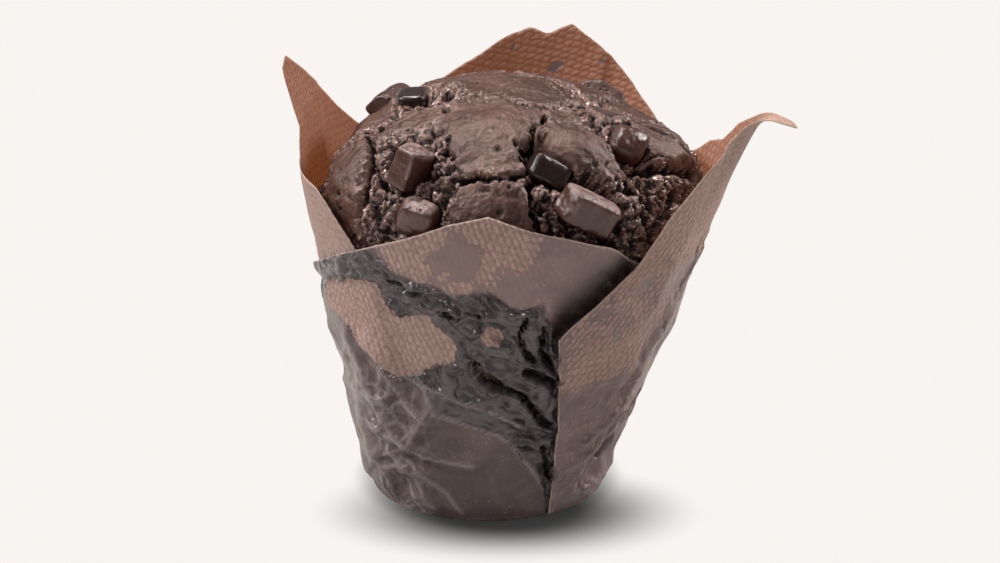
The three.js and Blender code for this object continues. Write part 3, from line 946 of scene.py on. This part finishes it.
def crumb_base(azimuth, q):
    """The smooth crumb at an azimuth and a distance q from the top, which is 1 at the waist."""
    length, share_table, lift_table = profile_tables()
    share = np.interp(q, length, share_table)
    edge = wall_point(azimuth, WAIST, -CRUMB_INSET)
    middle = xyz(LEAN * WAIST, 0.0, 0 * q)
    dome = middle + (edge - middle) * share[..., None]
    dome[..., 2] = WAIST + np.interp(q, length, lift_table)
    below = np.maximum(q - 1, 0) * DOME_REACH
    skirt = wall_point(azimuth, WAIST - below, -CRUMB_INSET - 0.3 * below)
    return np.where((q > 1)[..., None], skirt, dome)


def round_grid(count):
    """A square grid bent into a disc: the map places (x, y) of every point."""
    a, b = np.meshgrid(np.linspace(-1, 1, count), np.linspace(-1, 1, count))
    wide = np.abs(a) > np.abs(b)
    reach = np.where(wide, a, b)
    safe_a = np.where(a == 0, 1e-9, a)
    safe_b = np.where(b == 0, 1e-9, b)
    angle = np.where(wide, math.pi / 4 * b / safe_a, math.pi / 2 - math.pi / 4 * a / safe_b)
    return SKIRT * reach * np.cos(angle), SKIRT * reach * np.sin(angle)


def blurred(values, reach):
    """Mean of a grid over a square window."""
    padded = np.pad(values, reach, mode="edge")
    total = np.cumsum(np.cumsum(np.pad(padded, ((1, 0), (1, 0))), axis=0), axis=1)
    size = 2 * reach + 1
    columns = total[:, size:] - total[:, :-size]
    return (columns[size:] - columns[:-size]) / size**2


def on_map(line):
    return [(px * DOME_REACH / 100, py * DOME_REACH / 100) for px, py in line]


def inside_plates(x, y, place):
    """How far in mm each place lies inside the torn edge of a plate, negative outside them."""
    inside = np.full(x.shape, -np.inf)
    for outline in PLATES:
        inside = np.maximum(inside, inside_distance(x, y, on_map(outline)))
    return inside + 1.0 + summed_noise(place, TORN_EDGE)


def granule_relief(place):
    """Granules of the open crumb, with sharp gaps between them, in mm."""
    place = place + 0.55 * np.stack([noise(place, 1.5, seed) for seed in (91, 92, 93)], -1)
    relief = 0
    for size, height, seed in GRANULES:
        nearest, second, own = scatter_cells(place, size, seed)
        relief += height * (0.55 - nearest**2) * (0.4 + 1.2 * own)
        relief -= 0.4 * height * step_down(second - nearest, 0.0, 0.16)
    return relief


def crust_relief(place, inside):
    """Waves, wrinkles, burst bubbles and the raised edge of the crust's plates, in mm."""
    wrinkles = 1 - 2 * np.abs(noise(place * WRINKLE_STRETCH, 2.4, 78))
    bubbles, _, bubble = scatter_cells(place, 3.1, 88)
    relief = 0.3 + summed_noise(place, CRUST_WAVES) + 0.09 * wrinkles
    relief -= 0.6 * (bubble > 0.72) * step_down(bubbles, 0.12, 0.30)
    return relief + 0.22 * np.exp(-((inside - 1.4) / 0.9) ** 2)


def crumb_relief(x, y, place):
    """Relief in mm, and how much each place is smooth crust rather than open crumb."""
    flat = DOME_REACH * np.stack([x, y])
    warp = 1.6 * np.stack([fractal(place, 7, seed, 3) for seed in (71, 72)])
    inside = inside_plates(*(flat + warp), place) + 3.0 * step_up(y, 0.1, 0.3)
    crust = step_up(inside, -1.2, 2.2)
    islands = step_up(fractal(place, 3.4, 70), 0.30, 0.52)
    crust = np.maximum(crust, 0.75 * islands * step_up(inside, -6.0, -2.0))

    granules = granule_relief(place)
    pits = step_up(-noise(place, 3.0, 83), 0.18, 0.5)
    open_relief = -0.15 - 0.6 * step_down(inside, -4.0, 0.0) + granules
    open_relief += 0.75 * noise(place, 6, 84) - 1.6 * pits
    relief = mix(open_relief, crust_relief(place, inside) + 0.12 * granules, crust)

    for depth, width, line in CRACKS:
        distance = line_distance(*(flat + 0.5 * warp), on_map(line))
        ragged = distance + 0.5 * noise(place, 1.5, 85) + 0.35 * width * noise(place, 5, 87)
        relief -= depth * np.exp(-((np.maximum(ragged, 0) / width) ** 2))
        relief += 0.2 * crust * np.exp(-(((ragged - 2.2 * width) / 0.7) ** 2))
        crust = crust * step_up(ragged, 0.5 * width, 1.6 * width)
    for middle_x, middle_y, radius, height in SWELLINGS:
        (middle,) = on_map([(middle_x, middle_y)])
        distance = np.hypot(*(flat - np.reshape(middle, (2, 1)))) / radius
        relief += height * np.exp(-(distance**2) * 1.2)
    return relief, crust


def sink_pockets(points, normals):
    """Pushes the crumb down under every chunk, so that each sits in a pocket of its own."""
    for chunk in CHUNKS:
        rotation, middle = chunk_place(chunk)
        near = np.where(np.linalg.norm(points - middle, axis=1) < POCKET_REACH)[0]
        for _ in range(POCKET_STEPS):
            local = (points[near] - middle) @ rotation
            distance = np.linalg.norm(local, axis=1) + 1e-9
            inside = distance < chunk_reach(chunk, local / distance[:, None]) + CHUNK_GAP
            near = near[inside]
            points[near] -= POCKET_STEP * normals[near]
    return points


def foot_rings(azimuth):
    """Rings of the hidden foot, from the edge of the dome's grid to the middle of the base."""
    rings = [wall_point(azimuth, level, -FOOT_INSET) for level in FOOT_LEVELS]
    lowest = wall_point(azimuth, CRUMB_BOTTOM, -FOOT_INSET - 1)
    middle = np.array([0.0, 0.0, CRUMB_BOTTOM])
    return rings + [middle + (lowest - middle) * share for share in (1, 0.6, 0.2)], middle


def build_crumb(material):
    x, y = round_grid(GRID)
    q = np.hypot(x, y)
    azimuth = np.degrees(np.arctan2(x, -y))
    base = crumb_base(azimuth, q)
    normals = np.cross(np.gradient(base, axis=1), np.gradient(base, axis=0))
    normals /= np.linalg.norm(normals, axis=2)[..., None]
    flat = base.reshape(-1, 3)
    relief, crust = [v.reshape(q.shape) for v in crumb_relief(x.ravel(), y.ravel(), flat)]
    highest = mix(3.0, 0.3, step_up(q, 0.85, 1.0))
    relief = np.minimum(relief, highest) * step_down(q, 1.0, SKIRT)
    points = (base + relief[..., None] * normals).reshape(-1, 3)
    normals = normals.reshape(-1, 3)
    points = sink_pockets(points, normals)

    depth = np.sum((points - flat) * normals, axis=1).reshape(q.shape)
    # how far each point lies below its neighbours, for the painted shade in hollows and pits
    hollow = blurred(depth, 5) - depth
    fine_hollow = blurred(depth, 2) - depth

    # the hidden foot hangs from the edge of the grid
    index = np.arange(GRID * GRID).reshape(GRID, GRID)
    edge = np.concatenate([index[0, :-1], index[:-1, -1], index[-1, :0:-1], index[:0:-1, 0]])
    rings, middle = foot_rings(azimuth.ravel()[edge])
    first = len(points)
    rims = [edge] + [first + i * len(edge) + np.arange(len(edge)) for i in range(len(rings))]
    faces = grid_faces(GRID, GRID)
    for upper, lower in zip(rims, rims[1:]):
        faces += np.stack([upper, lower, np.roll(lower, -1), np.roll(upper, -1)], -1).tolist()
    vertices = np.vstack([points] + rings + [middle])
    centre = np.full(len(edge), len(vertices) - 1)
    faces += np.stack([rims[-1], centre, np.roll(rims[-1], -1)], -1).tolist()

    values = {"crust": crust, "hollow": hollow, "fine_hollow": fine_hollow}
    values = {name: np.pad(v.ravel(), (0, len(vertices) - first)) for name, v in values.items()}
    make_piece("baked_crumb", vertices, faces, values, material, "crumb", "muffin_crumb")


# ---- Materials ----

class Number:
    """A number in a material's nodes, which takes part in sums."""

    def __init__(self, recipe, socket):
        self.recipe = recipe
        self.socket = socket

    def __add__(self, other):
        return self.recipe.maths("ADD", self, other)

    def __sub__(self, other):
        return self.recipe.maths("SUBTRACT", self, other)

    def __mul__(self, other):
        return self.recipe.maths("MULTIPLY", self, other)

    def __truediv__(self, other):
        return self.recipe.maths("DIVIDE", self, other)

    def __abs__(self):
        return self.recipe.maths("ABSOLUTE", self)


class Recipe:
    """A new material, and short calls that add nodes to it. Lengths in its patterns are in mm."""

    def __init__(self, name):
        self.material = bpy.data.materials.new(name)
        self.material.use_nodes = True
        self.tree = self.material.node_tree
        self.tree.nodes.clear()
        place = self.add("TexCoord", {}, {}, "Object")
        self.place = self.add("VectorMath", {"operation": "SCALE"}, {0: place, "Scale": 1 / MM})

    def add(self, kind, settings, inputs, output=0):
        """Adds a node with its settings and inputs, and gives one of its outputs."""
        node = self.tree.nodes.new("ShaderNode" + kind)
        for key, value in settings.items():
            setattr(node, key, value)
        for key, value in inputs.items():
            if isinstance(value, Number):
                value = value.socket
            if isinstance(value, bpy.types.NodeSocket):
                self.tree.links.new(value, node.inputs[key])
            else:
                node.inputs[key].default_value = value
        return node.outputs[output]

    def number(self, *node):
        return Number(self, self.add(*node))

    def attributes(self, *names):
        return [self.number("Attribute", {"attribute_name": name}, {}, "Fac") for name in names]

    def maths(self, operation, *values):
        return self.number("Math", {"operation": operation}, dict(enumerate(values)))

    def noise(self, size, detail=2.0, roughness=0.5):
        inputs = {"Vector": self.place, "Scale": 1 / size, "Detail": detail, "Roughness": roughness}
        return self.number("TexNoise", {}, inputs, "Fac")

    def cells(self, size):
        inputs = {"Vector": self.place, "Scale": 1 / size}
        return self.number("TexVoronoi", {}, inputs, "Distance")

    def facets(self, size, turn):
        """Flat facets with sharp creases between them, 0..1, as in crumpled foil."""
        place = self.add("VectorRotate", {"rotation_type": "EULER_XYZ"},
                         {"Vector": self.place, "Rotation": (turn, turn, turn)})
        inputs = {"Vector": place, "Scale": 1 / size}
        return self.number("TexVoronoi", {"distance": "CHEBYCHEV"}, inputs, "Distance")

    def step(self, value, low, high, to_low=0.0, to_high=1.0):
        """A smooth step from to_low to to_high as the value goes from low to high."""
        inputs = {"Value": value, "From Min": low, "From Max": high,
                  "To Min": to_low, "To Max": to_high}
        return self.number("MapRange", {"interpolation_type": "SMOOTHSTEP"}, inputs)

    def layers(self, colour, *layers):
        """A colour with others laid over it in turn, each with its share."""
        for share, over in layers:
            below, above = [(*c, 1.0) if isinstance(c, tuple) else c for c in (colour, over)]
            colour = self.add("Mix", {"data_type": "RGBA"}, {0: share, 6: below, 7: above}, 2)
        return colour

    def bumps(self, *bumps):
        """Bumps laid over each other: each a height, and how many mm a height of 1 stands up."""
        normal = {}
        for height, reach in bumps:
            inputs = {"Height": height, "Distance": reach * MM, "Strength": 1.0, **normal}
            normal = {"Normal": self.add("Bump", {}, inputs)}
        return normal["Normal"]

    def gloss(self, colour, roughness, normal, specular, tint=(1.0, 1.0, 1.0)):
        return self.add("BsdfPrincipled", {}, {
            "Base Color": colour, "Roughness": roughness, "Normal": normal,
            "Specular IOR Level": specular, "Specular Tint": (*tint, 1.0),
        })

    def finish(self, shader):
        output = self.tree.nodes.new("ShaderNodeOutputMaterial")
        self.tree.links.new(shader, output.inputs["Surface"])
        return self.material


KRAFT = (0.39, 0.26, 0.22)
# the paper's inner side, orange as if lit through from behind: painted glow
KRAFT_INSIDE_GLOW = (0.47, 0.285, 0.21)
SOAKED = (0.086, 0.056, 0.056)
SOAKED_PALE = (0.20, 0.137, 0.130)
CHARRED = (0.082, 0.070, 0.073)
# painted shade, for gaping folds, folded edges and the dip above the right petal's edge
GAP_SHADE_BLACK = (0.008, 0.004, 0.003)
# painted highlight along the rims and folded edges
EDGE_HIGHLIGHT = (0.46, 0.34, 0.28)
# painted highlight along the creases
CREASE_HIGHLIGHT = (0.30, 0.24, 0.245)
GLOW = (0.66, 0.40, 0.26)
GLOW_DEEP = (0.60, 0.28, 0.13)
EMBOSS = (2.1, 1.25)  # size of an embossed pillow in mm, along its row and across it


def paper_material():
    r = Recipe("tulip_paper")
    dry, charred, gap, crease = r.attributes("dry", "charred", "gap", "crease")
    crumpled, upper, free, inside = r.attributes("crumpled", "upper", "free", "inside")
    weave_x, weave_y, to_edge = r.attributes("weave_x", "weave_y", "to_edge")

    # small embossed pillows in rows, each row set half a pillow along from the last
    v = weave_y / EMBOSS[1] + (r.noise(3.0) * 0.9 - 0.45)
    u = weave_x / EMBOSS[0] + r.maths("FLOOR", v) * 0.5
    across, along_row = [abs(r.maths("SINE", row * math.pi)) for row in (v, u)]
    pillow = across * (along_row * 0.8 + 0.2)

    patchy = r.noise(4.5, 4.0, 0.6)
    speckle = r.noise(0.9, 3.0, 0.65)
    uneven = patchy * 0.9 + speckle * 0.5 + pillow * 0.24 - 0.82
    dryness = r.step(dry + uneven, 0.36, 0.62)

    kraft = r.layers(
        KRAFT,
        # painted glow of light through the paper on its inner side
        (inside, KRAFT_INSIDE_GLOW),
        # painted shade in the grooves between the embossed pillows
        (r.step(pillow, 0.0, 0.7, 0.30, 0.0), SOAKED),
        (r.step(speckle, 0.38, 0.56, 0.36, 0.0), SOAKED),
    )
    wet = r.layers(
        SOAKED,
        (r.step(upper * 0.5 + patchy, 0.4, 1.1), SOAKED_PALE),
        (r.step(speckle, 0.62, 0.72, 0.0, 0.35), KRAFT),
        (charred, CHARRED),
        # painted highlight along the creases
        (crease * 0.8, CREASE_HIGHLIGHT),
    )
    # painted highlight along the rims and folded edges
    rim = r.step(to_edge, 0.12, 0.5, 0.7, 0.0)
    # near-black painted shade in gaping folds, beside folded edges and in the dip above the right
    # petal's edge
    colour = r.layers(wet, (dryness, kraft), (gap, GAP_SHADE_BLACK), (rim, EDGE_HIGHLIGHT))

    # facets of the crumpled paper, leathery wrinkles where it clings, then the embossing
    facets = r.facets(8.5, 0.4) + r.facets(4.0, 1.3) * 0.3
    wrinkles = abs(r.noise(4.6, 1.2, 0.5) - 0.5)
    fibre = r.noise(0.45, 4.0, 0.6)
    normal = r.bumps(
        (facets * crumpled, 3.2),
        (wrinkles * r.step(charred, 0.0, 1.0, 0.12, 1.0), 3.4),
        ((pillow + fibre * 0.5) * r.step(dryness, 0.0, 1.0, 0.22, 1.0), 0.17),
    )
    roughness = r.step(dryness, 0.0, 1.0, 0.30, 0.7) + speckle * 0.16
    roughness = roughness - charred * 0.13 - crumpled * 0.06
    body = r.gloss(colour, roughness, normal, 0.5)
    through = r.add("BsdfTranslucent", {}, {"Color": r.layers(GLOW_DEEP, (pillow, GLOW))})
    shader = r.add("MixShader", {}, {0: free * 0.52 * dryness, 1: body, 2: through})
    return r.finish(shader)


CRUST_BROWN = (0.056, 0.024, 0.018)
CRUST_PALE = (0.138, 0.067, 0.052)
CRUMB_BROWN = (0.050, 0.024, 0.020)
# painted shade in the crumb's hollows and pits
CRUMB_HOLLOW_SHADE = (0.004, 0.002, 0.002)
# paler crumb, at random and on the granules' tips, where it is painted light
CRUMB_TONE_AND_TIP_LIGHT = (0.19, 0.115, 0.098)
# painted glints on the granules' tips
PAINTED_GLINT = (0.62, 0.48, 0.44)
# painted glints on the crust
CRUST_GLINT = (0.32, 0.23, 0.20)
CRUMB_TINT = (1.0, 0.80, 0.72)  # of the crumb's reflections


def crumb_material():
    r = Recipe("baked_crumb")
    crust, hollow, fine_hollow = r.attributes("crust", "hollow", "fine_hollow")
    cloudy = r.noise(9.0, 3.0, 0.55)
    fine = r.noise(0.8, 5.0, 0.6)
    grain = r.noise(0.28, 3.0, 0.6)
    # painted glints: small pale spots in patches of the crust
    crust_glints = r.step(r.cells(1.3), 0.03, 0.14, 1.0, 0.0) * r.step(r.noise(3.0), 0.5, 0.62)
    # painted glints: pale spots on the granules' tips
    painted_glints = r.step(r.cells(1.0), 0.14, 0.30, 0.8, 0.0)
    painted_glints = painted_glints * r.step(fine_hollow, -0.06, 0.06, 1.0, 0.0)
    top = r.layers(
        CRUST_BROWN,
        (r.step(cloudy, 0.35, 0.7), CRUST_PALE),
        (r.step(fine, 0.35, 0.70, 0.65, 0.0), CRUMB_BROWN),
        (crust_glints * 0.5, CRUST_GLINT),
        # painted shade in the crust's pits
        (r.step(fine_hollow, 0.0, 0.13, 0.0, 0.9), CRUMB_HOLLOW_SHADE),
    )
    inner = r.layers(
        CRUMB_BROWN,
        # paler at random, and on the granules' tips as painted light
        (r.step(fine - fine_hollow, 0.50, 0.95), CRUMB_TONE_AND_TIP_LIGHT),
        (painted_glints, PAINTED_GLINT),
        # painted shade between the granules
        (r.step(fine_hollow, -0.10, 0.24), CRUMB_HOLLOW_SHADE),
    )
    # painted shade in the deeper hollows
    colour = r.layers(inner, (crust, top), (r.step(hollow, 0.3, 1.35, 0.0, 0.96), CRUMB_HOLLOW_SHADE))
    pores = r.step(r.cells(0.7), 0.05, 0.35)
    height = r.add("Mix", {"data_type": "FLOAT"}, {0: crust, 2: grain * 0.3 + pores, 3: fine * 0.7})
    roughness = r.step(crust, 0.1, 0.7, 0.04, 0.27) + fine * 0.16
    return r.finish(r.gloss(colour, roughness, r.bumps((height, 0.46)), 0.6, CRUMB_TINT))


CHOCOLATE = (0.064, 0.026, 0.019)
# painted shade of chunks sunk deep in the crumb
SUNK_CHOCOLATE_SHADE = (0.022, 0.010, 0.008)
# bloom on the upper side, and painted highlight along the edges
BLOOM_AND_HIGHLIGHT = (0.32, 0.22, 0.20)
# painted shade in the pits
PIT_SHADE = (0.01, 0.005, 0.004)


def chocolate_material():
    r = Recipe("dark_chocolate")
    pitted, pit, bloomed, sunk = r.attributes("pitted", "pit", "bloomed", "sunk")
    cloudy = r.noise(2.4, 3.0, 0.6)
    fine = r.noise(0.5, 4.0, 0.6)
    bloom_and_highlight = bloomed * r.step(cloudy, 0.3, 0.6)
    colour = r.layers(
        CHOCOLATE,
        # painted shade on chunks sunk deep in the crumb
        (sunk, SUNK_CHOCOLATE_SHADE),
        # bloom on the upper side, and painted highlight along the edges
        (bloom_and_highlight * 0.75, BLOOM_AND_HIGHLIGHT),
        # painted shade in the pits
        (pit * 0.8, PIT_SHADE),
    )
    roughness = r.step(pitted, 0.2, 0.9, 0.14, 0.36) + cloudy * 0.16
    return r.finish(r.gloss(colour, roughness, r.bumps((fine + cloudy * 0.8, 0.10)), 0.5))


# ---- Stage: a pale floor, soft light and the camera ----

BACKDROP = (0.939, 0.905, 0.880)
FLOOR_SIZE = 40.0  # m
ROOM_LIGHT = 0.18  # how bright the room is on the muffin, beside how bright the backdrop shows
FLOOR_GREY = (0.6, 0.58, 0.56, 1.0)
SHADOW_DARK = (0.02, 0.02, 0.02)
SHADOW_MIDDLE = (4.0, -19.0, 0.0)
SHADOW_SQUASH = (1.0, 1.6, 1.0)


def camera_ray(tree):
    return tree.nodes.new("ShaderNodeLightPath").outputs["Is Camera Ray"]


def floor_material():
    """White paper that shows as bright as the backdrop, with a soft shadow round the base."""
    r = Recipe("white_floor")

    def vector(operation, inputs, output=0):
        return r.add("VectorMath", {"operation": operation}, inputs, output)

    offset = vector("SUBTRACT", {0: r.place, 1: SHADOW_MIDDLE})
    offset = vector("MULTIPLY", {0: offset, 1: SHADOW_SQUASH})
    distance = vector("LENGTH", {0: offset}, "Value")
    ring = vector("LENGTH", {0: r.place}, "Value")
    light = r.step(distance, 13.0, 43.0, 0.03, 1.0) * r.step(ring, 24.0, 30.0, 0.5, 1.0)
    paper = r.add("BsdfDiffuse", {}, {"Color": FLOOR_GREY})
    bright = r.add("Emission", {}, {"Color": r.layers(SHADOW_DARK, (light, BACKDROP))})
    shader = r.add("MixShader", {}, {0: camera_ray(r.tree), 1: paper, 2: bright})
    return r.finish(shader)


def build_stage():
    half = FLOOR_SIZE / 2
    mesh = bpy.data.meshes.new("floor")
    corners = [(-half, -half, 0), (half, -half, 0), (half, half, 0), (-half, half, 0)]
    mesh.from_pydata(corners, [], [(0, 1, 2, 3)])
    mesh.materials.append(floor_material())
    floor = new_object("floor", mesh)
    world = bpy.data.worlds.new("soft_white")
    world.use_nodes = True
    tree = world.node_tree
    background = tree.nodes["Background"]
    background.inputs["Color"].default_value = (*BACKDROP, 1.0)
    strength = tree.nodes.new("ShaderNodeMapRange")
    strength.inputs["To Min"].default_value = ROOM_LIGHT
    tree.links.new(camera_ray(tree), strength.inputs["Value"])
    tree.links.new(strength.outputs["Result"], background.inputs["Strength"])
    bpy.context.scene.world = world
    bpy.context.scene.view_settings.view_transform = "Standard"


MUFFIN_MIDDLE = np.array([0.005, 0.0, 0.055])  # m
LIGHT_DISTANCE = 0.9  # m
# Soft lights: name, azimuth, elevation, size in m, watts, colour.
LIGHTS = [
    ("left_back", 258, 40, 0.16, 5.5, (1.0, 0.97, 0.95)),
    ("right_back", 112, 34, 0.20, 6.5, (1.0, 0.97, 0.95)),
    ("top", 200, 68, 0.05, 6.5, (1.0, 0.94, 0.90)),
    ("front_left", -50, 42, 0.07, 2.6, (1.0, 1.0, 1.0)),
]


def add_light(name, azimuth, elevation, size, watts, colour):
    """A square soft light aimed at the muffin's middle."""
    light = bpy.data.lights.new(name, "AREA")
    light.shape = "SQUARE"
    light.size = size
    light.energy = watts
    light.color = colour
    lamp = new_object(name, light)
    turn, lift = math.radians(azimuth), math.radians(elevation)
    level = math.cos(lift)
    outward = np.array([math.sin(turn) * level, -math.cos(turn) * level, math.sin(lift)])
    lamp.location = MUFFIN_MIDDLE + LIGHT_DISTANCE * outward
    lamp.rotation_euler = (math.pi / 2 - lift, 0.0, turn)


CAMERA_TARGET = (2.584, 0.0, 44.12)
CAMERA_DISTANCE = 600.0
CAMERA_LIFT = 20.0  # degrees above the table
CAMERA_LENS = 102.8


def build_camera():
    camera = bpy.data.cameras.new("camera")
    camera.lens = CAMERA_LENS
    camera.sensor_width = 36.0
    camera.clip_end = 100.0
    view = new_object("camera", camera)
    lift = math.radians(CAMERA_LIFT)
    back = CAMERA_DISTANCE * np.array([0.0, -math.cos(lift), math.sin(lift)])
    view.location = (np.array(CAMERA_TARGET) + back) * MM
    view.rotation_euler = (math.pi / 2 - lift, 0.0, 0.0)
    bpy.context.scene.camera = view


# ---- Assembly ----

build_stage()
build_camera()
for light in LIGHTS:
    add_light(*light)

build_wrap(paper_material())
build_crumb(crumb_material())
chocolate = chocolate_material()
chunk_ball = round_ball(6)
for number, chunk in enumerate(CHUNKS):
    build_chunk(number, chunk, chunk_ball, chocolate)
